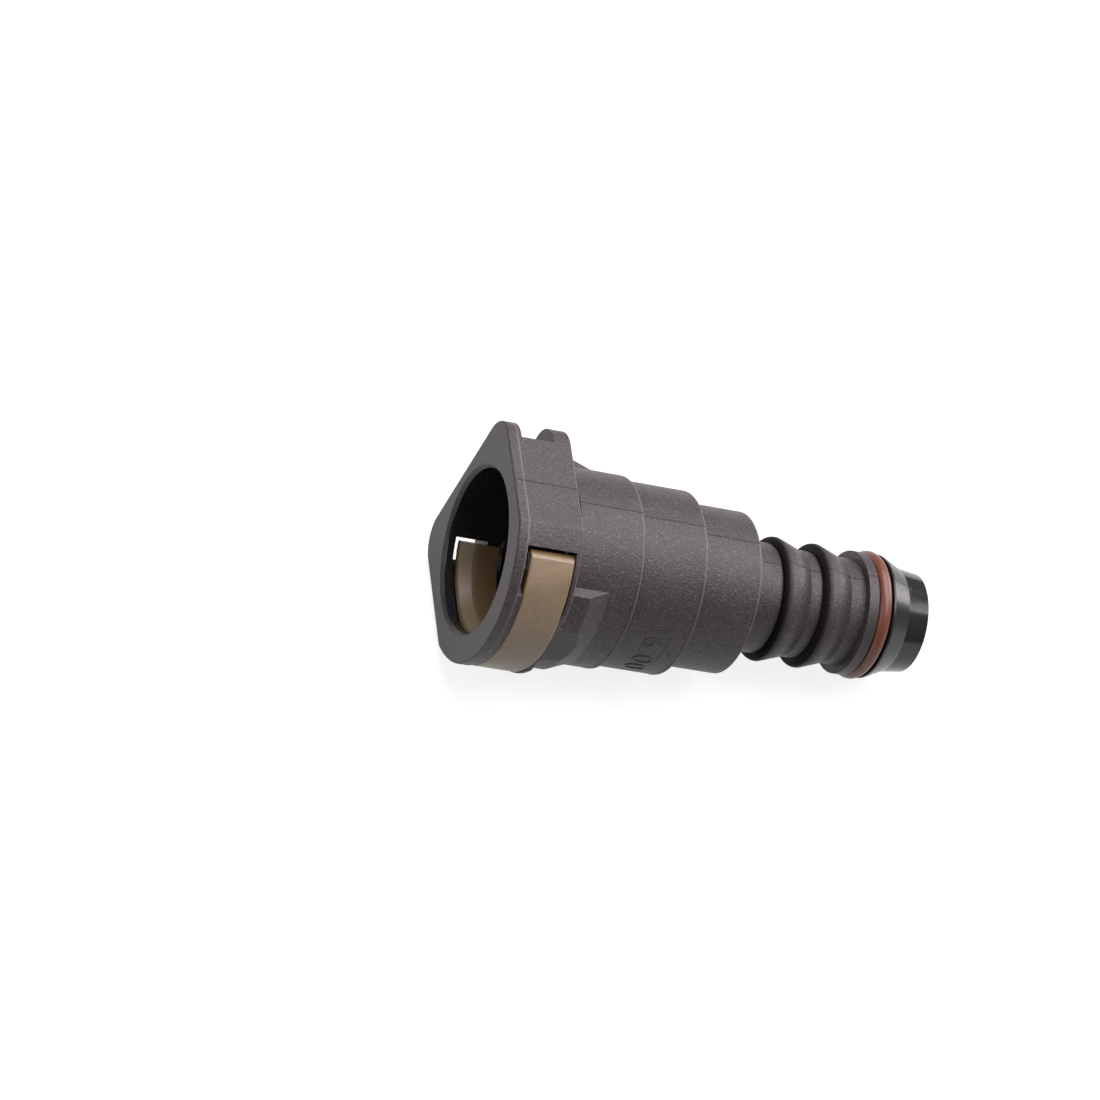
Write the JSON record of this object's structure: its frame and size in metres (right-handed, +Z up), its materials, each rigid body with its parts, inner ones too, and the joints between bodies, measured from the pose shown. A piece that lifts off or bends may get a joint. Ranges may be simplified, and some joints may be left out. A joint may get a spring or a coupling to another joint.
{
  "type": "quick disconnect coupling",
  "caption": "Straight plastic quick connector: squeeze-release retaining ring in the head, seals in a stepped body, and a barbed hose stem with a sealing ring.",
  "frame": {"origin": "centre of the footprint of the whole coupling, on the surface that it lies on", "axes": "+X from the mouth to the stem along the level projection of the coupling's axis, -Y towards the large release pad, +Z up; the coupling lies on a flat side of its head, so its axis dips 4.9 degrees towards the stem"},
  "size_m": [0.0604, 0.0266, 0.0266],
  "materials": {
    "housing": "fine spark-eroded grain, charcoal",
    "retainer": "satin, slightly translucent khaki",
    "stem_seal": "satin terracotta",
    "inner_seal": "matte black",
    "bush": "matte black"
  },
  "bodies": {
    "housing": {"housing": "housing", "stem_seal": "stem_seal", "bush": "bush", "front_seal": "inner_seal", "spacer": "bush", "rear_seal": "inner_seal"},
    "front_pad": {"front_pad": "retainer", "top_front_web": "retainer", "bottom_front_web": "retainer"},
    "rear_pad": {"rear_pad": "retainer", "top_rear_web": "retainer", "bottom_rear_web": "retainer"},
    "top_latch": {"top_latch": "retainer"},
    "bottom_latch": {"bottom_latch": "retainer"}
  },
  "joints": [
    {"name": "front_pad_press", "type": "slide", "parent": "housing", "child": "front_pad", "axis": [0, 1, 0], "range_m": [0, 0.00095], "stiffness_N_per_m": 4000, "deforming": ["top_front_web", "bottom_front_web"]},
    {"name": "rear_pad_press", "type": "slide", "parent": "housing", "child": "rear_pad", "axis": [0, -1, 0], "range_m": [0, 0.00095], "stiffness_N_per_m": 4000, "deforming": ["top_rear_web", "bottom_rear_web"]},
    {"name": "top_latch_open", "type": "slide", "parent": "housing", "child": "top_latch", "axis": [0.0853, 0, 0.9964], "range_m": [0, 0.00095], "stiffness_N_per_m": 4000},
    {"name": "bottom_latch_open", "type": "slide", "parent": "housing", "child": "bottom_latch", "axis": [-0.0853, 0, -0.9964], "range_m": [0, 0.00095], "stiffness_N_per_m": 4000}
  ],
  "couplings": [
    {"joint": "rear_pad_press", "follows": "front_pad_press", "ratio": 1},
    {"joint": "top_latch_open", "follows": "front_pad_press", "ratio": 1},
    {"joint": "bottom_latch_open", "follows": "front_pad_press", "ratio": 1}
  ]
}
